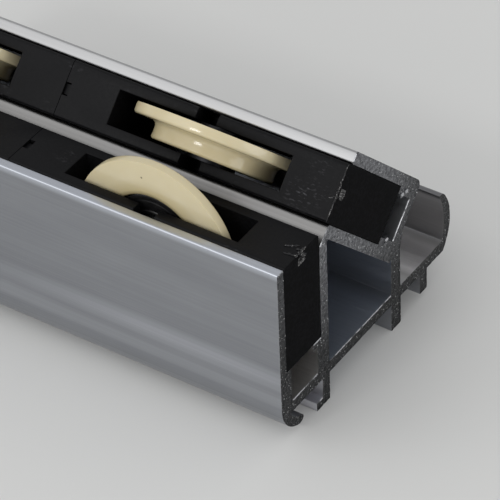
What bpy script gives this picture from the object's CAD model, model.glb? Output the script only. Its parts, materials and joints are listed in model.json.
# %% [markdown]
# A sliding door rail with snap-in rollers.
# The object is a short sawn length of aluminium door rail. Two channels run along it, one upright
# and one leaning back, and black moulded cassettes sit in both. Each cassette carries a cream
# flanged wheel on a small ball bearing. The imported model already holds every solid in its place,
# so this lesson is about what a solid model leaves out: softened edges, torn saw cuts, seals,
# wear and finish. It starts by loading that model as a frame that must not be moved.

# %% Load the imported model
import json
import math

import bmesh
import bpy
from mathutils import Matrix, Vector, noise


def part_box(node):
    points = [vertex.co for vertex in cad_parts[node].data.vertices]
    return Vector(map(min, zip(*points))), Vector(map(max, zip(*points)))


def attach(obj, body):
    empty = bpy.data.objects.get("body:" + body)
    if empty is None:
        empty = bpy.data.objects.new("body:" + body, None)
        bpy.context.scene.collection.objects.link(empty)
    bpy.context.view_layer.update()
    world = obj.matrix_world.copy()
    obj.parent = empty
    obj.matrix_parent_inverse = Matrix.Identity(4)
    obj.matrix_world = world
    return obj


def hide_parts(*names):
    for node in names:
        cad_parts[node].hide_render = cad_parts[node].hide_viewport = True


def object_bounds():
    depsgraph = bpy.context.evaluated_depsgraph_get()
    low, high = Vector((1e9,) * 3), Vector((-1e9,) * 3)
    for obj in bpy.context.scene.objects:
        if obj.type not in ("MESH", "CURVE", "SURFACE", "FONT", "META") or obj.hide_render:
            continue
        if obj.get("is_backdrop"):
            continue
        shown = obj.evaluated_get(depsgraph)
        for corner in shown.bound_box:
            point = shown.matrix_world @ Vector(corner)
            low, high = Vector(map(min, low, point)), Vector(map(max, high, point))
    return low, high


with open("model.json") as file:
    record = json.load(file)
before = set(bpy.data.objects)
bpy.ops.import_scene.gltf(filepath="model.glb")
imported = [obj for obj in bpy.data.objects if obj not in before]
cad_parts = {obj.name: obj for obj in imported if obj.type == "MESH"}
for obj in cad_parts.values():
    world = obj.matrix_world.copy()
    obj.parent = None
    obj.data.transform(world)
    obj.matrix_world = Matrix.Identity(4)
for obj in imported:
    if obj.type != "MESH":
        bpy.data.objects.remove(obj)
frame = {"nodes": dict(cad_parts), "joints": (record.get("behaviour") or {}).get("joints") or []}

mm = 0.001
cad_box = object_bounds()

# %% [markdown]
# The camera comes first, because every later choice is judged through it.
# A long lens from a corner, above the rail, shows the sawn end, the plate and both rows of wheels.
# It could be aimed by a constraint, but a plain place, a point to look at and a small roll are
# easier to read, and they leave nothing live in the scene.

# %% Camera
camera_place = Vector((235.55, -300.29, 318.96)) * mm
camera_aim = Vector((28.547, -5.0, 16.036)) * mm
camera_roll = math.radians(-2.49)

camera_data = bpy.data.cameras.new("camera")
camera_data.sensor_width = 36
camera_data.lens = 244.54
camera = bpy.data.objects.new("camera", camera_data)
bpy.context.scene.collection.objects.link(camera)
look = (camera_aim - camera_place).to_track_quat("-Z", "Y").to_matrix()
camera.matrix_world = (
    Matrix.Translation(camera_place)
    @ look.to_4x4()
    @ Matrix.Rotation(camera_roll, 4, "Z")
)
bpy.context.scene.camera = camera
print("camera to aim:", round((camera_aim - camera_place).length / mm), "mm")

# %% [markdown]
# Three habits help with every piece below. One piece at a time is selected, because an operator
# acts on all that is selected. Vertices, edges and faces are picked by a test on their place or
# direction, which is what a modeller does by eye. A piece that starts from a solid of the packed
# model gets its own copy of that mesh, whose loose triangles are merged into clean flat faces. The
# rail is the first such copy, and the print shows how far its triangles merge.

# %% Helpers for picking and copying
merge_within = 0.001 * mm
flat_within = math.radians(0.2)


def take_up(piece):
    """Leaves one piece selected and active, in object mode."""
    if bpy.context.mode != "OBJECT":
        bpy.ops.object.mode_set(mode="OBJECT")
    bpy.ops.object.select_all(action="DESELECT")
    piece.select_set(True)
    bpy.context.view_layer.objects.active = piece


def pick(piece, kind, test):
    """Opens a piece in edit mode, selects the parts of a kind that pass a test, and counts them."""
    take_up(piece)
    bpy.ops.object.mode_set(mode="EDIT")
    bpy.ops.mesh.select_mode(type=kind)
    bpy.ops.mesh.select_all(action="DESELECT")
    shape = bmesh.from_edit_mesh(piece.data)
    parts = {"VERT": shape.verts, "EDGE": shape.edges, "FACE": shape.faces}[kind]
    chosen = [part for part in parts if test(part)]
    for part in chosen:
        part.select_set(True)
    bmesh.update_edit_mesh(piece.data)
    return len(chosen)


def join_to(piece, others):
    """Makes other pieces part of one piece."""
    take_up(piece)
    for other in others:
        other.select_set(True)
    bpy.ops.object.join()


def copy_of(node, name):
    """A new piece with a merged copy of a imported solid's mesh."""
    piece = bpy.data.objects.new(name, frame["nodes"][node].data.copy())
    piece.data.name = name
    piece.data.materials.clear()
    bpy.context.scene.collection.objects.link(piece)
    pick(piece, "VERT", lambda vertex: True)
    bpy.ops.mesh.customdata_custom_splitnormals_clear()
    bpy.ops.mesh.remove_doubles(threshold=merge_within)
    bpy.ops.mesh.dissolve_limited(angle_limit=flat_within)
    return piece


def sharp(edge, least):
    """Says whether two faces meet at an edge at more than a number of degrees."""
    return len(edge.link_faces) == 2 and edge.calc_face_angle() > math.radians(least)


rail = copy_of("rail_profile", "rail_extrusion")
loose = len(frame["nodes"]["rail_profile"].data.polygons)
merged = len(bmesh.from_edit_mesh(rail.data).faces)
print("rail faces:", loose, "loose triangles, merged to", merged)

# %% [markdown]
# The rail is an aluminium extrusion. A die can't leave a knife edge, so each long corner has a
# small radius, and that radius is what catches the light as a thin bright line. The copy of the
# solid gets wide rounds on the plate's top, at the two mouths and on the gutter's lip, where they
# show, and a finer one on the other corners. Bevelling them in groups matters: one bevel over
# everything would be held back by the narrowest face.

# %% Rail: rounded long edges
rail_low, rail_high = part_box("rail_profile")
rail_length = rail_high.x - rail_low.x
narrowest, whole_run, corner_angle = 0.5 * mm, 0.9, 30
upper_mouth, lower_mouth = 36.0 * mm, 28.5 * mm
plate_front, plate_back = -22.0 * mm, -20.0 * mm
lip_front, lip_foot = 18.0 * mm, 14.5 * mm


def long_corner(edge):
    """A sharp edge that runs the whole rail, between faces wide enough to round."""
    run = edge.verts[1].co - edge.verts[0].co
    wide = all(face.calc_area() > narrowest * rail_length for face in edge.link_faces)
    return abs(run.x) > whole_run * rail_length and wide and sharp(edge, corner_angle)


corner_groups = (
    ("upper mouth", 0.34, lambda p: p.z > upper_mouth),
    ("lower mouth", 0.60, lambda p: upper_mouth > p.z > lower_mouth and p.y > plate_back),
    ("plate top, front", 0.26, lambda p: p.z > lower_mouth and p.y < plate_front),
    ("plate top, back", 0.20, lambda p: p.z > lower_mouth and plate_front < p.y < plate_back),
    ("gutter's lip", 0.42, lambda p: p.y > lip_front and p.z > lip_foot),
    ("others", 0.14, lambda p: p.z < (lip_foot if p.y > lip_front else lower_mouth)),
)
for group, radius, belongs in corner_groups:
    count = pick(rail, "EDGE", lambda e: long_corner(e) and belongs(e.verts[0].co))
    bpy.ops.mesh.bevel(offset=radius * mm, segments=4, affect="EDGES")
    print("rail corners,", group + ":", count)

# %% [markdown]
# A saw leaves the two ends torn and dull, and it turns over the edges that face up, which makes a
# burr. Those edges could be picked by hand after the cut, but they are easier to find while the
# ends are still whole. So their two points, and the direction of the face beside them, are noted
# first.

# %% Rail: edges that get a burr
burr_least, burr_back = 1.0 * mm, 12.0 * mm
square_on, looks_up, looks_back = 0.99, 0.5, 0.3


def on_end(point):
    """Says whether a point lies on one of the rail's two end planes."""
    return min(abs(point.x - rail_low.x), abs(point.x - rail_high.x)) < merge_within


def end_face(face):
    """A face of the rail's sawn ends."""
    return abs(face.normal.x) > square_on and on_end(face.calc_center_median())


def turned_edge(edge):
    """A long edge of an end before the gutter, beside a face that looks up and not to the back."""
    skins = [face.normal for face in edge.link_faces if not end_face(face)]
    if len(edge.link_faces) != 2 or len(skins) != 1:
        return False
    kept = edge.verts[0].co.y < burr_back and edge.calc_length() > burr_least
    return kept and skins[0].z > looks_up and skins[0].y < looks_back


pick(rail, "EDGE", turned_edge)
burr_lines = []
for edge in bmesh.from_edit_mesh(rail.data).edges:
    if edge.select:
        skin = next(face.normal.copy() for face in edge.link_faces if not end_face(face))
        burr_lines.append((edge.verts[0].co.copy(), edge.verts[1].co.copy(), skin))
print("edges with a burr:", len(burr_lines))

# %% [markdown]
# A texture alone would look flat on the sawn ends, so they get real relief, and for that they need
# many small cells. Subdividing would follow the shape of the section. Cuts in two slanted
# directions, made with bisect, follow the saw. The ends are turned into triangles first, because a
# cut through a hollow face can join points across the hollow.

# %% Rail: cells of the sawn ends
saw_pitch, saw_slant = 0.5 * mm, math.radians(24)


def to_triangles():
    """Splits the rail's ends into triangles."""
    pick(rail, "FACE", end_face)
    bpy.ops.mesh.quads_convert_to_tris(quad_method="BEAUTY", ngon_method="BEAUTY")


to_triangles()
bpy.ops.mesh.hide(unselected=True)
cuts = 0
middle = (rail_low + rail_high) / 2
reach = (rail_high - rail_low).yz.length / 2
for slant in (saw_slant, saw_slant + math.pi / 2):
    across = Vector((0, math.cos(slant), math.sin(slant)))
    for step in range(-int(reach / saw_pitch), int(reach / saw_pitch) + 1):
        bpy.ops.mesh.select_all(action="SELECT")
        bpy.ops.mesh.bisect(plane_co=middle + across * step * saw_pitch, plane_no=across)
        cuts += 1
bpy.ops.mesh.reveal(select=False)
to_triangles()
print("sawn ends:", cuts, "cuts")

# %% [markdown]
# Each point of the cut is now pushed into the metal by a little noise, never outwards, so the rail
# keeps its length. The points at the rim move less, which keeps the section's outline. The sum of
# the areas, taken before, is twice that of the section, so no cell lies over a hollow.

# %% Rail: relief of the sawn ends
cut_depth, cut_scatter = 0.07 * mm, 0.06 * mm
rim_scatter, rim_share = 0.05 * mm, 0.4
grit = 0.55 * mm

shape = bmesh.from_edit_mesh(rail.data)
shape.faces.index_update()
cut_cells = [face.index for face in shape.faces if end_face(face)]
sawn_area = sum(face.calc_area() for face in shape.faces if end_face(face)) / mm**2
rims = {v for v in shape.verts if on_end(v.co) and not all(end_face(f) for f in v.link_faces)}
for vertex in shape.verts:
    if on_end(vertex.co):
        inward = 1 if vertex.co.x < middle.x else -1
        chatter = noise.noise(vertex.co / grit)
        if vertex in rims:
            push = max(0, rim_scatter * (rim_share + chatter))
        else:
            push = max(0, cut_depth + cut_scatter * chatter)
        vertex.co.x += inward * push
bmesh.update_edit_mesh(rail.data)
print("sawn ends:", len(cut_cells), "cells,", round(sawn_area, 1), "square mm")

# %% [markdown]
# The burr is a thin lip of metal that hangs ragged over the cut, and it shows as a fine bright line
# along each edge that faces up. A bevel of the edge would be held back by the small rounds beside
# it, so each lip is a narrow grid that is laid along its edge, gets a thickness and joins the rail.
# At the far end there is no room beyond the cut, so the lip stays flush there.

# %% Rail: burr
burr_reach, burr_drop, burr_skin = 0.05 * mm, 0.17 * mm, 0.03 * mm
burr_step, burr_least_drop = 0.25 * mm, 0.3


def strip_grid(steps):
    """A new flat strip, two points wide, whose places are set by the caller."""
    bpy.ops.object.select_all(action="DESELECT")
    bpy.ops.mesh.primitive_grid_add(x_subdivisions=steps, y_subdivisions=1)
    return bpy.context.active_object


def burr_lip(start, end, skin):
    """A narrow strip from the face beside an edge, over the edge and down the cut."""
    piece = strip_grid(max(2, round((end - start).length / burr_step)))
    outward = Vector((1 if start.x > middle.x else -1, 0, 0))
    room = burr_reach if start.x > middle.x else 0
    for vertex in piece.data.vertices:
        place = start.lerp(end, (vertex.co.x + 1) / 2)
        ragged = burr_least_drop + abs(noise.noise(place / burr_step))
        if vertex.co.y > 0:
            vertex.co = place + outward * room - skin * burr_drop * ragged
        else:
            vertex.co = place - outward * burr_reach + skin * burr_skin / 2
    pick(piece, "FACE", lambda face: True)
    bpy.ops.mesh.solidify(thickness=burr_skin)
    take_up(piece)
    return piece


take_up(rail)
first_lip = len(rail.data.polygons)
lips = [burr_lip(*line) for line in burr_lines]
print("burr lips:", len(lips))

# %% [markdown]
# A few crumbs of swarf still cling to the corners of the leaning channel. Each is a small sphere
# whose points are shaken and which is then squashed against the cut. Modelling each by hand would
# give no better lump at this size. Lips and crumbs join the rail, and their faces are listed,
# because they take a bare metal of their own later.

# %% Rail: swarf
shaken, squashed = 0.12, (0.5, 1.0, 0.8)


def crumb(across, height, size, seed):
    """A torn lump of swarf that clings to the cut, at a place of the section in millimetres."""
    bpy.ops.object.select_all(action="DESELECT")
    spot = Vector((rail_high.x, across * mm, height * mm))
    bpy.ops.mesh.primitive_ico_sphere_add(subdivisions=3, radius=size * mm / 2, location=spot)
    piece = bpy.context.active_object
    bpy.ops.object.transform_apply(location=True)
    pick(piece, "VERT", lambda vertex: True)
    bpy.ops.transform.vertex_random(offset=shaken * size * mm, seed=seed)
    bpy.ops.transform.resize(value=squashed, center_override=spot)
    take_up(piece)
    return piece


swarf = (
    (9.0, 22.85, 0.95, 3),
    (10.3, 22.7, 0.8, 4),
    (4.95, 17.8, 0.7, 5),
    (4.5, 17.3, 0.5, 6),
)
crumbs = [crumb(*lump) for lump in swarf]
join_to(rail, lips + crumbs)
burr_cells = list(range(first_lip, len(rail.data.polygons)))
print("crumbs:", len(crumbs), "faces of burr and swarf:", len(burr_cells))

# %% [markdown]
# The rail's shading is smooth along its curls and hard at its corners, which is what smoothing by
# angle gives. The sawn cells and the burr stay flat, so that each of them glints by itself.

# %% Rail: shading
hard_from = math.radians(35)
take_up(rail)
bpy.ops.object.shade_smooth_by_angle(angle=hard_from)
for index in cut_cells + burr_cells:
    rail.data.polygons[index].use_smooth = False
print("rail faces:", len(rail.data.polygons), "sawn:", len(cut_cells), "burr:", len(burr_cells))

# %% [markdown]
# Each roller has its own frame: the origin on the axle, Z along it towards the wheel's flange, and
# the cassette's height at a right angle to it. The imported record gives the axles, so nothing has
# to be measured. A piece is made once in one of these frames and then copied to the other three.

# %% Frames of the four rollers
lean, upright = math.radians(45), math.radians(90)
rollers = {}
for joint in frame["joints"]:
    if not joint["name"].endswith("cage_spin"):
        name = joint["name"].removesuffix("_spin")
        leans = name.startswith("rear")
        place = Matrix.Translation(Vector(joint["pos_m"]))
        rollers[name] = {
            "wheel": place @ Matrix.Rotation(-lean if leans else upright, 4, "X"),
            "cassette": place @ Matrix.Rotation(lean if leans else 0, 4, "X"),
        }
        print(name, [round(v / mm, 2) for v in joint["pos_m"]])


def placed_copy(source, name, turn):
    """A copy of a piece with its own mesh, set in place by a matrix that goes into the mesh."""
    piece = bpy.data.objects.new(name, source.data.copy())
    piece.data.name = name
    bpy.context.scene.collection.objects.link(piece)
    piece.data.transform(turn)
    return piece


# %% [markdown]
# The cassette is a black nylon moulding with a slot for the wheel, snap notches for the axle and a
# small tongue that enters the next cassette. Mould edges are never sharp, so its edges get a small
# round. The edges of its two ends stay crisp, because neighbours meet there with hardly a seam.
# The piece is worked on in the place of the first front cassette, where its frame isn't turned.

# %% Cassette: rounded edges
cassette = copy_of("front_1_cassette", "cassette")
home = rollers["front_1"]["cassette"]
away = home.inverted()
mould_round, least_run, mould_angle = 0.13 * mm, 1.2 * mm, 40
body_end, notch_back, face_height = 22.45 * mm, 21.5 * mm, 5.9 * mm


def mould_edge(edge):
    """A sharp straight edge of the moulding, away from its ends, its tongue and its notch."""
    at_end = all(abs((away @ vertex.co).x) > notch_back for vertex in edge.verts)
    return sharp(edge, mould_angle) and edge.calc_length() > least_run and not at_end


rounded = pick(cassette, "EDGE", mould_edge)
bpy.ops.mesh.bevel(offset=mould_round, segments=2, affect="EDGES", clamp_overlap=False)
take_up(cassette)
bpy.ops.object.shade_smooth_by_angle(angle=hard_from)
print("cassette edges rounded:", rounded)

# %% [markdown]
# The two cassettes at the sawn end are damaged, and first of all their tongues are torn off short.
# The tongue could be cut away and a ragged lump be modelled in its place. It is quicker to
# subdivide the tongue that is there, to shake its points and to draw them back by noise.

# %% Cassette: torn tongue
close = 0.02 * mm
tear, tear_from, tear_size = 0.15 * mm, 0.1 * mm, 0.6 * mm
length_left, taper = 0.5, 0.4


def tear_tongue(piece, seed):
    """Leaves a ragged stump of the tongue near the face, inside its own length."""
    longest = max((away @ vertex.co).x for vertex in piece.data.vertices)
    pick(piece, "FACE", lambda face: (away @ face.calc_center_median()).x > body_end + close)
    bpy.ops.mesh.subdivide(number_cuts=5)
    pick(piece, "VERT", lambda vertex: (away @ vertex.co).x > body_end + tear_from)
    bpy.ops.transform.vertex_random(offset=tear, seed=seed)
    shape = bmesh.from_edit_mesh(piece.data)
    for vertex in shape.verts:
        point = away @ vertex.co
        beyond = point.x - body_end
        if beyond > close:
            stump = length_left * (1 + noise.noise(vertex.co / tear_size))
            short = min(beyond * stump, longest - body_end) - beyond
            raised = taper * max(0, face_height - point.z)
            vertex.co += Vector((short, -taper * point.y, raised))
    bmesh.update_edit_mesh(piece.data)


damaged = {
    "front_1": placed_copy(cassette, "front_1_cassette_moulding", Matrix()),
    "rear_1": placed_copy(cassette, "rear_1_cassette_moulding", Matrix()),
}
damage_seeds = {"front_1": 7, "rear_1": 11}
for name, piece in damaged.items():
    tear_tongue(piece, damage_seeds[name])
    print(name, "torn:", len(bmesh.from_edit_mesh(piece.data).faces), "faces")

# %% [markdown]
# The edge of the face above the tongue is chipped. It gets a narrow bevel whose two long edges are
# divided. Noise then slides the points of one edge along the face and those of the other down the
# end, so the slope between them widens into bites while both faces stay flat.

# %% Cassette: chipped edge
chip_rim, chip_depth, chip_size, chip_cuts = 0.05 * mm, 0.4 * mm, 0.4 * mm, 95
chip_share, chip_reach = 0.6, 1.3 * mm
level = 0.1 * close


def on_edge(vertex, within):
    """Says whether a point lies at the edge between the face and the tongue's end."""
    point = away @ vertex.co
    return abs(point.x - body_end) < within and abs(point.z - face_height) < within


def on_slope(edge):
    """A long edge of the narrow slope between the face and the end."""
    long = edge.calc_length() > least_run
    return long and all(on_edge(vertex, chip_rim + close) for vertex in edge.verts)


def chip_edge(piece, seed):
    """Bites into the edge of the face above the tongue."""
    pick(piece, "EDGE", lambda edge: all(on_edge(vertex, close) for vertex in edge.verts))
    bpy.ops.mesh.bevel(offset=chip_rim, segments=1, affect="EDGES", clamp_overlap=False)
    pick(piece, "EDGE", on_slope)
    bpy.ops.mesh.subdivide(number_cuts=chip_cuts)
    shape = bmesh.from_edit_mesh(piece.data)
    for vertex in shape.verts:
        if vertex.select:
            point = away @ vertex.co
            rough = chip_share + noise.noise(Vector((seed, point.y / chip_size, 0)))
            depth = chip_depth * max(0, rough) * max(0, 1 - (point.y / chip_reach) ** 2)
            on_face = point.z > face_height - level
            vertex.co -= Vector((depth, 0, 0)) if on_face else Vector((0, 0, depth))
    bmesh.update_edit_mesh(piece.data)
    take_up(piece)


for name, piece in damaged.items():
    chip_edge(piece, damage_seeds[name])
    print(name, "chipped:", len(piece.data.polygons), "faces")

# %% [markdown]
# Slivers of skin have peeled up beside the tongue and along the end. A sliver starts as a narrow
# grid that is laid along its path. It wanders and lifts by noise, is widest in the middle, curls
# up on one side and gets a thickness. A bevelled curve would be quicker, but it couldn't curl.

# %% Cassette: peeled slivers
sliver_steps, sliver_skin, sliver_sunk = 10, 0.09 * mm, 0.03 * mm
wander, wander_size, lift_size = 0.12 * mm, 0.5 * mm, 0.35 * mm
tip_width, belly, curl = 0.35, 0.65, 0.6


def sliver(start, end, width, rise):
    """A peeled strip of skin between two points of the face, in millimetres."""
    piece = strip_grid(sliver_steps)
    start, end = Vector((*start, 0)) * mm, Vector((*end, 0)) * mm
    side = Vector((0, 0, 1)).cross(end - start).normalized()
    for vertex in piece.data.vertices:
        share = (vertex.co.x + 1) / 2
        place = start.lerp(end, share)
        stray = noise.noise(place / wander_size)
        half = width * mm / 2 * (tip_width + belly * math.sin(math.pi * share))
        place += side * (half * vertex.co.y + wander * stray)
        lift = rise * mm * abs(noise.noise(place / lift_size)) * (1 + curl * vertex.co.y)
        height = face_height + sliver_skin - sliver_sunk + lift
        vertex.co = home @ (place + Vector((0, 0, height)))
    pick(piece, "FACE", lambda face: True)
    bpy.ops.mesh.normals_make_consistent(inside=False)
    bpy.ops.mesh.solidify(thickness=sliver_skin)
    take_up(piece)
    return piece


strips = {
    "front_1": (
        ((19.9, -0.1), (21.7, 0.85), 0.26, 0.3),
        ((20.6, -1.35), (22.4, -1.15), 0.24, 0.3),
        ((21.7, 0.0), (22.42, 0.5), 0.2, 0.3),
    ),
    "rear_1": (
        ((21.4, -0.95), (22.42, -0.55), 0.2, 0.25),
        ((22.0, 0.3), (22.4, 0.75), 0.2, 0.25),
        ((22.38, -4.1), (22.36, -0.9), 0.16, 0.15),
        ((22.37, -1.0), (22.38, 4.1), 0.16, 0.15),
    ),
}
for name, piece in damaged.items():
    join_to(piece, [sliver(*strip) for strip in strips[name]])
    bpy.ops.object.shade_smooth_by_angle(angle=hard_from)
    print(name, "slivers:", len(strips[name]))

# %% [markdown]
# The damaged cassettes were made in the first place of the front row. They are turned into their
# own places, and the two whole ones are copies of the plain moulding, which is then removed.

# %% Cassette: all four
cassettes = dict(damaged)
for name, frames in rollers.items():
    turn = frames["cassette"] @ away
    if name in damaged:
        damaged[name].data.transform(turn)
    else:
        cassettes[name] = placed_copy(cassette, name + "_cassette_moulding", turn)
bpy.data.objects.remove(cassette)
print("cassettes:", {name: len(piece.data.polygons) for name, piece in cassettes.items()})

# %% [markdown]
# A seal, a bearing ring and a wheel are all turned shapes, so one way of making serves for them:
# a closed loop of points is the outline of one half of the section, its corners are softened by a
# vertex bevel, and spin carries it round the axle. The ends of the spin meet, so they are merged,
# and the normals are made to point outwards.
# The bearing sits a little inside the wheel's bore and shows a black rubber seal. The solid's seal
# is a flat disc. A real one is moulded over a steel washer and has a raised land, a groove on each
# side of it and a thick lip at the inner ring. The far seal is a copy, turned over.

# %% Turned pieces: seal
turned_hard_from = math.radians(30)


def turned(name, outline, soften=0, steps=144):
    """Spins a closed outline of (radius, height) points in millimetres round Z."""
    bpy.ops.object.select_all(action="DESELECT")
    bpy.ops.mesh.primitive_circle_add(vertices=len(outline), fill_type="NOTHING")
    piece = bpy.context.active_object
    piece.name = piece.data.name = name
    for vertex, (radius, height) in zip(piece.data.vertices, outline):
        vertex.co = Vector((radius, 0, height)) * mm
    pick(piece, "VERT", lambda vertex: True)
    if soften:
        bpy.ops.mesh.bevel(offset=soften * mm, segments=2, affect="VERTICES")
    bpy.ops.mesh.select_all(action="SELECT")
    bpy.ops.mesh.spin(steps=steps, angle=2 * math.pi, center=(0, 0, 0), axis=(0, 0, 1))
    bpy.ops.mesh.select_all(action="SELECT")
    bpy.ops.mesh.remove_doubles(threshold=merge_within)
    bpy.ops.mesh.normals_make_consistent(inside=False)
    take_up(piece)
    bpy.ops.object.shade_smooth_by_angle(angle=turned_hard_from)
    return piece


seal_outline = [
    (3.82, 1.55),
    (6.79, 1.55),
    (6.79, 1.70),
    (6.66, 1.74),
    (6.32, 1.74),
    (6.20, 1.66),
    (5.96, 1.66),
    (5.84, 1.72),
    (4.72, 1.72),
    (4.60, 1.64),
    (4.36, 1.64),
    (4.24, 1.78),
    (3.92, 1.78),
    (3.82, 1.70),
]
seal = turned("seal", seal_outline, soften=0.03)
join_to(seal, [placed_copy(seal, "far_seal", Matrix.Rotation(math.pi, 4, "X"))])
print("seal points:", len(seal.data.vertices))

# %% [markdown]
# The bearing's outer ring is ground steel. Only a hair-thin rim of it shows, round the seal. Its
# two faces are alike, so one is written down and the other is its mirror image. The groove that
# the balls run in is an arc of points. The seals hide it, but without it the balls would cut into
# the ring.

# %% Turned pieces: outer ring
def arc(radius, height, size, first, last, steps=6):
    """Points of an arc round a centre, from one angle to another in degrees."""
    angles = [math.radians(first + (last - first) * k / steps) for k in range(steps + 1)]
    return [(radius + size * math.cos(a), height + size * math.sin(a)) for a in angles]


ball_circle, groove_radius, groove_half = 4.5, 1.16, 40
ring_face = [(5.26, 1.54), (6.81, 1.54), (6.81, 1.73), (6.84, 1.77), (6.91, 1.77), (6.99, 1.69)]
ring_outline = [
    *[(radius, -height) for radius, height in ring_face],
    *reversed(ring_face),
    *arc(ball_circle, 0, groove_radius, groove_half, -groove_half, steps=8),
]
outer_ring = turned("outer_ring", ring_outline, soften=0.015, steps=96)
print("ring points:", len(outer_ring.data.vertices))

# %% [markdown]
# The wheel is moulded in cream acetal. Its wide flange keeps the door on its track, the narrower
# tread runs on it, and a fillet joins them. A moulding is never quite flat: the flange's rim is
# slightly crowned, the tread has sunk a little as it cooled, and the face falls off towards the
# rim. That is what makes a lamp show as a small clear point on each of them. The rounds are short
# arcs of points, and the outline stays inside the solid.

# %% Turned pieces: wheel
def bowed(radius, low, high, bow, steps=6):
    """Points between two heights at one radius, bowed out in the middle, without the ends."""
    shares = [k / steps for k in range(1, steps)]
    return [(radius + bow * 4 * s * (1 - s), low + (high - low) * s) for s in shares]


half_width = 2.1
tread_radius, bore_radius = 9.0, 7.01
flange_radius, flange_top, flange_under = 12.4, 1.96, 0.4
fillet, bore_round, bore_cut = 0.75, 0.35, 0.2
corner, face_corner = 0.43, 0.04
crown, sink = 0.03, -0.05
wheel_outline = [
    (bore_radius, -half_width + bore_cut),
    (bore_radius + bore_cut, -half_width),
    *arc(tread_radius - corner, -half_width + corner, corner, -90, 0),
    *bowed(tread_radius, -half_width + corner, flange_under - fillet, sink),
    *arc(tread_radius + fillet, flange_under - fillet, fillet, 180, 90),
    *arc(flange_radius - corner, flange_under + corner, corner, -90, 0),
    *bowed(flange_radius, flange_under + corner, flange_top - face_corner, crown),
    *arc(flange_radius - face_corner, flange_top - face_corner, face_corner, 0, 90, steps=3),
    *arc(bore_radius + bore_round, half_width - bore_round, bore_round, 90, 180),
]
wheel = turned("wheel", wheel_outline)
print("wheel points:", len(wheel.data.vertices))

# %% [markdown]
# The four rollers are alike, so each turned piece is copied into the frame of every wheel. The
# copies could share one mesh, but a finished piece carries its place in its own mesh.

# %% Turned pieces: copies for every roller
turned_pieces = {"wheel": wheel, "seals": seal, "outer_ring": outer_ring}
turned_copies = {}
for name, frames in rollers.items():
    for kind, source in turned_pieces.items():
        turned_copies[name, kind] = placed_copy(source, f"{name}_{kind}_turned", frames["wheel"])
for source in turned_pieces.values():
    bpy.data.objects.remove(source)
print("turned copies:", len(turned_copies))

# %% [markdown]
# Materials come next. A colour is written as it looks on a screen, as an sRGB hex value, and one
# function turns it into the linear numbers that a shader needs. Another adds a node, fills its
# settings and links what is handed to it. Patterns are read at the object's own coordinates, which
# stay with a piece when its body turns, and their size is given in millimetres.

# %% Helpers for materials
def linear(code):
    """An sRGB hex colour as linear RGBA."""
    parts = [int(code[k : k + 2], 16) / 255 for k in (1, 3, 5)]
    parts = [c / 12.92 if c <= 0.04045 else ((c + 0.055) / 1.055) ** 2.4 for c in parts]
    return (*parts, 1.0)


def per(size):
    """The scale of a pattern whose features are a size in millimetres apart."""
    return 1 / (size * mm)


def add(tree, kind, inputs, **settings):
    """Adds a node with its settings. An input is a value, or a socket to link from."""
    node = tree.nodes.new(kind)
    for key, value in settings.items():
        setattr(node, key, value)
    for key, value in inputs.items():
        if isinstance(value, bpy.types.NodeSocket):
            tree.links.new(value, node.inputs[key])
        else:
            node.inputs[key].default_value = value
    return node


def blank(name):
    """A new material, its empty tree and the place on the object that patterns are read at."""
    material = bpy.data.materials.new(name)
    material.use_nodes = True
    tree = material.node_tree
    tree.nodes.clear()
    return material, tree, add(tree, "ShaderNodeTexCoord", {}).outputs["Object"]


def dress(tree, inputs):
    """Closes a material with a principled shader."""
    shader = add(tree, "ShaderNodeBsdfPrincipled", inputs)
    add(tree, "ShaderNodeOutputMaterial", {"Surface": shader.outputs[0]})


print("mid grey as linear:", round(linear("#808080")[0], 3))

# %% [markdown]
# Most finishes are built from the same three steps. A stain or a clean zone is all that lies within
# a distance of a point or a line. A layer of colour covers more or less as some value, such as that
# distance or a noise, crosses a span. And one grain gives a surface both its gloss and its relief.
# Images painted by hand could do all three, but these need no file and no unwrapping.

# %% Helpers for stains, layers and skins
usual_span = (0.3, 0.7)  # nearly all values of a noise


def gap_from(tree, place, centre, scale=(1, 1, 1)):
    """The distance from a point in millimetres, or from a line through it where the scale is 0."""
    shift = -Vector(centre) * Vector(scale) * mm
    moved = {"Vector": place, "Location": shift, "Scale": scale}
    gap = {0: add(tree, "ShaderNodeMapping", moved).outputs[0]}
    return add(tree, "ShaderNodeVectorMath", gap, operation="LENGTH").outputs["Value"]


def spread(value, span, result):
    """What a Map Range node needs in order to turn a span of a value into a result."""
    (start, end), (first, last) = span, result
    return {"Value": value, "From Min": start, "From Max": end, "To Min": first, "To Max": last}


def lay(tree, tone, colour, value, span, shares=(0.0, 1.0), how="MIX"):
    """Lays a colour over a tone, by a share that changes as a value crosses a span."""
    share = add(tree, "ShaderNodeMapRange", spread(value, span, shares)).outputs[0]
    layers = {0: share, 6: tone, 7: linear(colour)}
    return add(tree, "ShaderNodeMix", layers, data_type="RGBA", blend_type=how).outputs[2]


def skin_of(tree, grain, roughness, strength, depth):
    """The gloss and the relief that a grain gives a surface. The depth is in millimetres."""
    gloss = spread(grain, usual_span, roughness)
    bump = {"Height": grain, "Strength": strength, "Distance": depth * mm}
    return {
        "Roughness": add(tree, "ShaderNodeMapRange", gloss).outputs[0],
        "Normal": add(tree, "ShaderNodeBump", bump).outputs[0],
    }


print("usual span of a noise:", usual_span)

# %% [markdown]
# Anodised aluminium. The rail was pressed through a die, then etched and anodised. The die leaves
# fine lines along the rail, the etch makes the metal satin, and the oxide greys it a little. The
# lines are noise stretched along X. A brushed image would do as well, but noise has no seam.
# Lines and etch are finer on a real rail. They are drawn as coarse as they need to show.

# %% Anodised aluminium: patterns
die_stretch, cloud_stretch = (0.004, 1, 1), (0.2, 1, 1)

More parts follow.
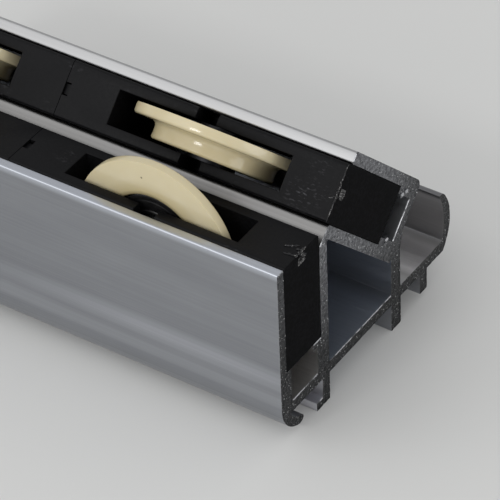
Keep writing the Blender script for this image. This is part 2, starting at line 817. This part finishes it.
anodised, tree, place = blank("anodised_aluminium_extruded")
drawn = add(tree, "ShaderNodeMapping", {"Vector": place, "Scale": die_stretch}).outputs[0]
lines = add(
    tree, "ShaderNodeTexNoise", {"Vector": drawn, "Scale": per(0.35), "Detail": 3}
).outputs[0]
drift = add(tree, "ShaderNodeMapping", {"Vector": place, "Scale": cloud_stretch}).outputs[0]
cloud = add(tree, "ShaderNodeTexNoise", {"Vector": drift, "Scale": per(5), "Detail": 4}).outputs[0]
etch = add(
    tree, "ShaderNodeTexNoise", {"Vector": place, "Scale": per(0.3), "Detail": 2}
).outputs[0]
tone = add(
    tree,
    "ShaderNodeMix",
    {0: cloud, 6: linear("#8F9196"), 7: linear("#A8AAAF")},
    data_type="RGBA",
).outputs[2]
print(anodised.name, len(tree.nodes), "nodes for its patterns")

# %% [markdown]
# Where nothing has touched the skin, inside the box, the gutter and the channels, it is brighter,
# the plate's top is rubbed bright by hands, and the lower mouth and the gutter's lip are dulled by
# grime. Low on the plate the die has left two pale streaks. All this could be painted on by hand.
# A zone that is all that lies near a line along the rail, or near one point of it, needs no image.

# %% Anodised aluminium: zones
point, line, flat_line, long_spot = (1, 1, 1), (0, 1, 1), (0, 0.25, 1), (0.06, 1, 1)
zones = (
    ("box", (0, -4.5, 13.5), line, (10.0, 13.0), "#CED4DE", 1.0),
    ("gutter", (0, 14.5, 11.5), line, (6.5, 8.5), "#ACABAB", 1.0),
    ("gutter's floor", (0, 15.0, 6.6), flat_line, (0.7, 1.0), "#E2E0E1", 1.0),
    ("gutter's lip", (0, 19.8, 15.6), line, (0.7, 1.2), "#6E6E70", 0.9),
    ("leaning channel's back", (44.6, 7.3, 20.0), point, (4.5, 6.0), "#CCCED2", 1.0),
    ("front channel's floor", (0, -16.2, 9.5), line, (4.2, 5.6), "#DCDAD8", 1.0),
    ("bay under the front channel", (0, -12.5, 2.5), line, (2.2, 3.0), "#E4E4EA", 1.0),
    ("upper mouth", (0, -2.8, 37.5), line, (1.1, 1.8), "#AEAEAE", 0.9),
    ("lower mouth", (0, -10.4, 29.9), line, (1.5, 2.2), "#7A7875", 0.8),
    ("plate's top", (0, -21.35, 30.8), line, (0.8, 1.3), "#C8CCD4", 0.9),
    ("die streak on the plate", (29, -22.1, 11.9), long_spot, (0.5, 2.4), "#B6B8BE", 1.0),
    ("die streak at its foot", (0, -22.1, 8.3), line, (0.5, 1.5), "#A9ABB0", 1.0),
)
for zone, centre, scale, (inner, outer), colour, share in zones:
    far = gap_from(tree, place, centre, scale)
    tone = lay(tree, tone, colour, far, (inner * mm, outer * mm), (share, 0.0))
    print("zone:", zone, "within", outer, "mm")

# %% [markdown]
# Last, the die's lines darken the metal a little, and they drive both the gloss and a very shallow
# bump. The etch lays a second bump on top of the first. A metal needs no more, because most of what
# it shows is what it mirrors.

# %% Anodised aluminium: gloss and bump
tone = lay(tree, tone, "#A0A0A0", lines, (0.35, 0.7), (0.0, 0.1), "MULTIPLY")
satin = skin_of(tree, lines, (0.32, 0.42), strength=0.08, depth=0.02)
etch_bump = add(
    tree,
    "ShaderNodeBump",
    {"Height": etch, "Strength": 0.06, "Distance": 0.02 * mm, "Normal": satin["Normal"]},
).outputs[0]
dress(tree, {"Base Color": tone, "Metallic": 1.0, **satin, "Normal": etch_bump})
print(anodised.name, len(tree.nodes), "nodes")

# %% [markdown]
# Sawn aluminium. The blade tore the metal, so it is darker than the skin, mottled and rough, with
# bright specks where a smear of metal faces the light. One noise makes the mottling and the bump,
# and another the specks. The blade bit first at the upper webs, with clean teeth, and they filled
# as it went on, so the cut is darker the further it lies from there. The burr at the edge is the
# same metal, but the blade has smeared it smooth in stretches, and there it shines. So one function
# makes both.

# %% Sawn aluminium and its burr
first_bite, teeth_fill = (0, -3, 31), (8.0 * mm, 23.0 * mm)
glint_edge = 0.07


def torn_metal(name, dull, pale, bare, glint, glint_from, roughness, load):
    """Bare aluminium, mottled and darkened by the saw, with glints above a level of a noise."""
    material, tree, place = blank(name)
    torn = add(
        tree,
        "ShaderNodeTexNoise",
        {"Vector": place, "Scale": per(0.55), "Detail": 5, "Roughness": 0.7},
    ).outputs[0]
    smear = add(
        tree, "ShaderNodeTexNoise", {"Vector": place, "Scale": per(glint), "Detail": 2}
    ).outputs[0]
    tone = lay(tree, linear(dull), pale, torn, (0.36, 0.64))
    travel = gap_from(tree, place, first_bite, line)
    tone = lay(tree, tone, "#585858", travel, teeth_fill, (0.0, load), "MULTIPLY")
    tone = lay(tree, tone, bare, smear, (glint_from, glint_from + glint_edge))
    coarse = add(
        tree, "ShaderNodeBump", {"Height": torn, "Strength": 0.6, "Distance": 0.12 * mm}
    ).outputs[0]
    dress(tree, {"Base Color": tone, "Metallic": 0.9, "Roughness": roughness, "Normal": coarse})
    return material


sawn = torn_metal(
    "aluminium_sawn",
    dull="#3E3F43",
    pale="#8F9094",
    bare="#E4E5E6",
    glint=0.25,
    glint_from=0.65,
    roughness=0.46,
    load=0.92,
)
burr = torn_metal(
    "aluminium_burr",
    dull="#4C4D50",
    pale="#868789",
    bare="#BCBDC0",
    glint=1.6,
    glint_from=0.42,
    roughness=0.34,
    load=0.3,
)
print(sawn.name, burr.name)

# %% [markdown]
# Black nylon. The cassettes are moulded in glass-filled nylon, which comes out of the mould nearly
# black and half matt. Sliding in and out has left pale scuffs in patches. A patch is a broad noise,
# or a spot near one point, and a scuff is a finer noise stretched along the rail. Where both are
# high, the plastic is scuffed. The pattern is read in the cassette's own frame, so a spot keeps its
# place on a leaning cassette. The grain of a real mould is finer, and this one is drawn as coarse
# as it needs to show.

# %% Black nylon
scuff_stretch, scuff_turn = (0.4, 1, 1), 0.5


def in_frame(place, turn):
    """What a Mapping node needs in order to read a place in the frame of one wheel or cassette."""
    return {"Vector": place, "Location": turn.to_translation(), "Rotation": turn.to_euler()}


def nylon(name, turn, spot, spot_size):
    """The cassette's black plastic, with scuffs round one spot of its face, in millimetres."""
    material, tree, place = blank("nylon_glass_filled_black_" + name)
    local = add(
        tree, "ShaderNodeMapping", in_frame(place, turn), vector_type="TEXTURE"
    ).outputs[0]
    rubbed = add(
        tree,
        "ShaderNodeMapping",
        {"Vector": local, "Rotation": (0, 0, scuff_turn), "Scale": scuff_stretch},
    ).outputs[0]
    grain, cloud, scuff, patch = [
        add(
            tree, "ShaderNodeTexNoise", {"Vector": at, "Scale": per(size), "Detail": detail}
        ).outputs[0]
        for at, size, detail in ((local, 0.3, 3), (local, 8, 3), (rubbed, 0.3, 4), (place, 5.5, 1))
    ]
    tone = add(
        tree,
        "ShaderNodeMix",
        {0: cloud, 6: linear("#08080A"), 7: linear("#101012")},
        data_type="RGBA",
    ).outputs[2]
    gap = gap_from(tree, local, spot)
    marks, in_patch, at_spot = [
        add(tree, "ShaderNodeMapRange", spread(value, span, shares)).outputs[0]
        for value, span, shares in (
            (scuff, (0.57, 0.70), (0.0, 1.0)),
            (patch, (0.58, 0.7), (0.0, 0.35)),
            (gap, (0, spot_size * mm), (0.9, 0.0)),
        )
    ]
    where = add(tree, "ShaderNodeMath", {0: in_patch, 1: at_spot}, operation="MAXIMUM").outputs[0]
    wear = add(tree, "ShaderNodeMath", {0: marks, 1: where}, operation="MULTIPLY").outputs[0]
    tone = add(
        tree, "ShaderNodeMix", {0: wear, 6: tone, 7: linear("#4C4C4F")}, data_type="RGBA"
    ).outputs[2]
    skin = skin_of(tree, grain, (0.4, 0.54), strength=0.12, depth=0.03)
    dress(tree, {"Base Color": tone, "Specular IOR Level": 0.14, **skin})
    return material


far_off = (0, 0, 50)
scuffed_spots = {
    "rear_1": ((17.8, -1.8, 5.9), 3.4),
    "front_1": ((-16.0, 0.3, 5.9), 1.6),
}
nylons = {
    name: nylon(name, frames["cassette"], *scuffed_spots.get(name, (far_off, 1)))
    for name, frames in rollers.items()
}
print("nylons:", len(nylons), "with a scuffed spot:", len(scuffed_spots))

# %% [markdown]
# The cassette's ends and the walls of its slot were never rubbed, so they are quite matt and
# swallow the light. Where the nylon is torn, it has whitened as it stretched: pale fibres over a
# dark ground. Both are nylon without its moulded skin, so one function makes them.

# %% Matt nylon and torn nylon
fibre_edge = 0.14


def bare_nylon(name, dark, pale, fibre_size, pale_from, roughness, gloss):
    """Nylon without its moulded skin, with pale fibres above a level of a noise."""
    material, tree, place = blank(name)
    fibre = add(
        tree, "ShaderNodeTexNoise", {"Vector": place, "Scale": per(fibre_size), "Detail": 3}
    ).outputs[0]
    tone = lay(tree, linear(dark), pale, fibre, (pale_from, pale_from + fibre_edge))
    rough = add(
        tree, "ShaderNodeBump", {"Height": fibre, "Strength": 0.1, "Distance": 0.04 * mm}
    ).outputs[0]
    dress(
        tree,
        {"Base Color": tone, "Roughness": roughness, "Specular IOR Level": gloss, "Normal": rough},
    )
    return material


nylon_matt = bare_nylon(
    "nylon_matt_black",
    dark="#060607",
    pale="#0D0D0F",
    fibre_size=0.4,
    pale_from=0.45,
    roughness=0.8,
    gloss=0.06,
)
nylon_torn = bare_nylon(
    "nylon_torn_whitened",
    dark="#121214",
    pale="#7D7C7A",
    fibre_size=0.22,
    pale_from=0.53,
    roughness=0.38,
    gloss=0.4,
)
print(nylon_matt.name, nylon_torn.name)

# %% [markdown]
# Cream acetal. The wheels are moulded in unpigmented acetal that has yellowed a little. It is
# waxy: smooth, with clear small highlights and some light passing under the skin. The pattern is
# read in the wheel's own frame, through a Mapping node, so that all four wheels are alike. Oil from
# the bearing and grime have stained the bore, each a distance from the axle, and a tiny dark speck
# in the moulding of the first wheel is a distance to one point.

# %% Cream acetal
round_axle = (1, 1, 0)
oil_stain, grime_stain = (9.6, 0.7, "#B5A473"), (7.8, 0.8, "#4E452F")
speck_core, speck_rim, speck_share = 0.08 * mm, 0.22 * mm, 0.85


def acetal(name, turn, speck_at):
    """The wheel's cream plastic, read in the frame of one wheel, with a speck at a point of it."""
    material, tree, place = blank("acetal_cream_" + name)
    local = add(
        tree, "ShaderNodeMapping", in_frame(place, turn), vector_type="TEXTURE"
    ).outputs[0]
    cloud, fine = [
        add(
            tree, "ShaderNodeTexNoise", {"Vector": local, "Scale": per(size), "Detail": detail}
        ).outputs[0]
        for size, detail in ((7, 3), (0.5, 2))
    ]
    tone = add(
        tree,
        "ShaderNodeMix",
        {0: cloud, 6: linear("#C8BB95"), 7: linear("#D7CCAD")},
        data_type="RGBA",
    ).outputs[2]
    radius = gap_from(tree, local, (0, 0, 0), round_axle)
    for reach, share, stain in (oil_stain, grime_stain):
        tone = lay(tree, tone, stain, radius, (bore_radius * mm, reach * mm), (share, 0.0))
    gap = gap_from(tree, local, speck_at)
    tone = lay(tree, tone, "#4A3B28", gap, (speck_core, speck_rim), (speck_share, 0.0))
    wax = {
        "Base Color": tone,
        "IOR": 1.48,
        "Subsurface Weight": 0.15,
        "Subsurface Radius": (1.0, 0.8, 0.45),
        "Subsurface Scale": 0.6 * mm,
        **skin_of(tree, fine, (0.1, 0.16), strength=0.04, depth=0.03),
    }
    dress(tree, wax)
    return material


speck_spots = {"front_1": (-1.51, 9.89, 2.1)}
creams = {
    name: acetal(name, frames["wheel"], speck_spots.get(name, far_off))
    for name, frames in rollers.items()
}
print("creams:", len(creams), "with a speck:", len(speck_spots))

# %% [markdown]
# Bearing steel. Ground steel shows fine rings round its axle, which a wave texture gives when it is
# read in the wheel's frame. At a scale of 1 its rings lie pi / 10 apart, hence the factor in the
# scale. Real rings are finer, and these are drawn as coarse as they need to show. They drive a very
# shallow bump, and a broad noise stains the metal a little.

# %% Bearing steel
ring_pitch, wave_factor = 0.12, math.pi / 10


def steel(name, turn):
    """Ground steel with rings round one axle."""
    material, tree, place = blank("bearing_steel_" + name)
    local = add(
        tree, "ShaderNodeMapping", in_frame(place, turn), vector_type="TEXTURE"
    ).outputs[0]
    rings = add(
        tree,
        "ShaderNodeTexWave",
        {"Vector": local, "Scale": per(ring_pitch) * wave_factor, "Distortion": 1.5, "Detail": 2},
        wave_type="RINGS",
        rings_direction="Z",
    ).outputs[1]
    stain = add(
        tree, "ShaderNodeTexNoise", {"Vector": local, "Scale": per(1.5), "Detail": 3}
    ).outputs[0]
    tone = add(
        tree,
        "ShaderNodeMix",
        {0: stain, 6: linear("#5E6063"), 7: linear("#8C8E91")},
        data_type="RGBA",
    ).outputs[2]
    ground = add(
        tree, "ShaderNodeMapRange", spread(stain, usual_span, (0.2, 0.34))
    ).outputs[0]
    lathe = add(
        tree, "ShaderNodeBump", {"Height": rings, "Strength": 0.1, "Distance": 0.01 * mm}
    ).outputs[0]
    dress(tree, {"Base Color": tone, "Metallic": 1.0, "Roughness": ground, "Normal": lathe})
    return material


steels = {name: steel(name, frames["wheel"]) for name, frames in rollers.items()}
print("steels:", len(steels))

# %% [markdown]
# Blackened steel. The axle and its washers come from an oxide bath, which leaves a thin black skin
# that rubs off to grey. Its worn edges could be found by their curvature, but these pieces hardly
# show, so a noise between two dark greys is enough.

# %% Blackened steel
oxide, tree, place = blank("steel_black_oxide")
worn = add(tree, "ShaderNodeTexNoise", {"Vector": place, "Scale": per(0.8), "Detail": 3}).outputs[0]
tone = add(
    tree, "ShaderNodeMix", {0: worn, 6: linear("#2B2B2D"), 7: linear("#47474A")}, data_type="RGBA"
).outputs[2]
skin = skin_of(tree, worn, (0.36, 0.52), strength=0.1, depth=0.02)
dress(tree, {"Base Color": tone, "Metallic": 1.0, **skin})
print(oxide.name, len(tree.nodes), "nodes")

# %% [markdown]
# Seal rubber. The seals are moulded in black nitrile rubber. Its skin is dry and half matt, and
# dust has settled on it in patches. The skin is a fine noise, drawn as coarse as it needs to show,
# and the dust is a pale layer on the high parts of a broader one. Loose grains would be truer, but
# they are too small to show.

# %% Seal rubber
nitrile, tree, place = blank("nitrile_rubber_black")
grain = add(
    tree, "ShaderNodeTexNoise", {"Vector": place, "Scale": per(0.25), "Detail": 3}
).outputs[0]
dust = add(tree, "ShaderNodeTexNoise", {"Vector": place, "Scale": per(1.2), "Detail": 3}).outputs[0]
tone = lay(tree, linear("#121213"), "#2E2D2C", dust, (0.5, 0.75), (0.0, 0.6))
skin = skin_of(tree, grain, (0.34, 0.5), strength=0.1, depth=0.02)
dress(tree, {"Base Color": tone, **skin})
print(nitrile.name, len(tree.nodes), "nodes")

# %% [markdown]
# Cage plastic. The cage that spaces the balls is natural polyamide, a pale brown plastic. It only
# shows when the seals come off, so a mottled colour and a shallow bump are enough. Light passing
# under its skin would be truer, but it would not be seen.

# %% Cage plastic
polyamide, tree, place = blank("polyamide_natural")
grain = add(
    tree, "ShaderNodeTexNoise", {"Vector": place, "Scale": per(0.4), "Detail": 3}
).outputs[0]
tone = add(
    tree, "ShaderNodeMix", {0: grain, 6: linear("#BFA97E"), 7: linear("#D9C79F")}, data_type="RGBA"
).outputs[2]
grain_bump = add(
    tree, "ShaderNodeBump", {"Height": grain, "Strength": 0.1, "Distance": 0.02 * mm}
).outputs[0]
dress(tree, {"Base Color": tone, "Roughness": 0.45, "Normal": grain_bump})
print(polyamide.name, len(tree.nodes), "nodes")

# %% [markdown]
# Now every piece gets its finish and its place in the frame. A new piece rides on the body that
# its solid belongs to, hides that solid and names the record's slot. The rail comes first. Its sawn
# cells and its burr could be pieces of their own, but one mesh with three materials has no seam.

# %% Finish: rail
def finish_piece(piece, body, node, slot, *materials):
    """Gives a piece its materials, and ties it to its body and its solid."""
    piece.data.materials.clear()
    for material in materials:
        piece.data.materials.append(material)
    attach(piece, body)
    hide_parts(node)


finish_piece(rail, "root", "rail_profile", "anodised_aluminium", anodised, sawn, burr)
for slot, cells in ((1, cut_cells), (2, burr_cells)):
    for index in cells:
        rail.data.polygons[index].material_index = slot
print("rail finishes:", [material.name for material in rail.data.materials])

# %% [markdown]
# A cassette shows three kinds of nylon. Its face and its edges that look up are moulded and
# scuffed, its ends and the walls of its slot are matt, and what is torn is whitened. They could be
# painted on by hand, but the place and the direction of a face in the cassette's frame say it all.

# %% Finish: cassettes
looks_out = 0.3


def nylon_slot(centre, normal, torn):
    """Which nylon a face of a cassette shows: 0 moulded, 1 matt, 2 torn."""
    bitten = abs(centre.y) < chip_reach and centre.x > body_end - chip_depth
    slopes = bitten and min(normal.x, normal.z) > looks_out
    if torn and (slopes or centre.z > face_height + close or centre.x > body_end + close):
        return 2
    return 0 if normal.z > looks_out else 1


for name, piece in cassettes.items():
    finishes = (nylons[name], nylon_matt, nylon_torn)
    finish_piece(piece, "root", name + "_cassette", "black_plastic", *finishes)
    to_local = rollers[name]["cassette"].inverted()
    turn = to_local.to_3x3()
    for face in piece.data.polygons:
        centre, normal = to_local @ face.center, turn @ face.normal
        face.material_index = nylon_slot(centre, normal, name in damaged)
print("cassettes finished:", len(cassettes), "torn:", len(damaged))

# %% [markdown]
# The wheels, seals and outer rings ride on the turning body of their roller. The axles, washers,
# inner rings, balls and cages are right as they are, so those nodes stay and only change material.

# %% Finish: turning pieces and kept nodes
for name in rollers:
    finishes = {
        "wheel": ("cream_plastic", creams[name]),
        "seals": ("seal_rubber", nitrile),
        "outer_ring": ("steel", steels[name]),
    }
    for kind, (slot, material) in finishes.items():
        piece = turned_copies[name, kind]
        finish_piece(piece, name + "_roller", f"{name}_{kind}", slot, material)
    kept = {
        "axle": oxide,
        "washers": oxide,
        "inner_ring": steels[name],
        "balls": steels[name],
        "cage": polyamide,
    }
    for kind, material in kept.items():
        node = frame["nodes"][f"{name}_{kind}"]
        node.data.materials.clear()
        node.data.materials.append(material)
print("turning pieces:", len(turned_copies), "kept nodes:", len(kept) * len(rollers))

# %% [markdown]
# The studio starts with a plain pale floor, a sheet of paper that is wide enough to have no edge in
# view. It is matt and almost even, so that nothing in it draws the eye from the rail.

# %% Studio: floor
floor_size = 12  # metres

bpy.ops.object.select_all(action="DESELECT")
bpy.ops.mesh.primitive_plane_add(size=floor_size)
floor = bpy.context.active_object
floor.name = "studio_floor"
paper, tree, place = blank("studio_paper_pale")
mist = add(tree, "ShaderNodeTexNoise", {"Vector": place, "Scale": per(300), "Detail": 2}).outputs[0]
tone = add(
    tree, "ShaderNodeMix", {0: mist, 6: linear("#DADAD8"), 7: linear("#DFDFDD")}, data_type="RGBA"
).outputs[2]
dress(tree, {"Base Color": tone, "Roughness": 0.9, "Specular IOR Level": 0.1})
floor.data.materials.append(paper)
floor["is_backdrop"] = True
print("floor:", floor_size, "m wide")

# %% [markdown]
# The light is soft. A large softbox stands to the front and left, where the rail's mouths and top
# edges mirror it, and a narrow strip near it puts the clear streaks of light on the wheels. A box
# in front evens out the wheels' faces, a weak one at the sawn end fills its shadows, and the sky is
# a soft grey. One lamp would be simpler, but metal shows little else than what stands round it.

# %% Studio: light
lamps = (  # place, width and height in metres, power in watts
    ("key_softbox", (-0.62, -0.9, 0.9), 1.3, 1.3, 4.4),
    ("strip_softbox", (-0.1, -0.98, 0.73), 0.28, 0.12, 1.7),
    ("front_softbox", (0.5, -1.5, 0.35), 1.0, 1.0, 2.5),
    ("fill_softbox", (1.35, -0.2, 0.35), 0.7, 0.7, 3.0),
)
for name, place, width, height, power in lamps:
    bpy.ops.object.light_add(type="AREA", location=place)
    lamp = bpy.context.active_object
    lamp.name = lamp.data.name = name
    lamp.data.shape = "RECTANGLE"
    lamp.data.size, lamp.data.size_y = width, height
    lamp.data.energy = power
    lamp.visible_camera = False
    lamp.rotation_mode = "QUATERNION"
    lamp.rotation_quaternion = (-Vector(place)).to_track_quat("-Z", "Y")
    print("lamp:", lamp.name, power, "W")

world = bpy.data.worlds.new("studio")
world.use_nodes = True
world.node_tree.nodes.clear()
soft_grey = {"Color": (0.705, 0.71, 0.72, 1), "Strength": 0.9}
sky = add(world.node_tree, "ShaderNodeBackground", soft_grey)
add(world.node_tree, "ShaderNodeOutputWorld", {"Surface": sky.outputs[0]})
bpy.context.scene.world = world
bpy.context.scene.view_settings.view_transform = "Standard"

# %% [markdown]
# Last, the box of the finished model is set beside the box of the solids, because looks must not
# change a size, and the frame is checked and closed.

# %% Sizes and finish
final_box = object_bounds()
for end, was, now in zip(("low", "high"), cad_box, final_box):
    print(end, "grew by", [round((n - w) / mm, 3) for w, n in zip(was, now)], "mm")
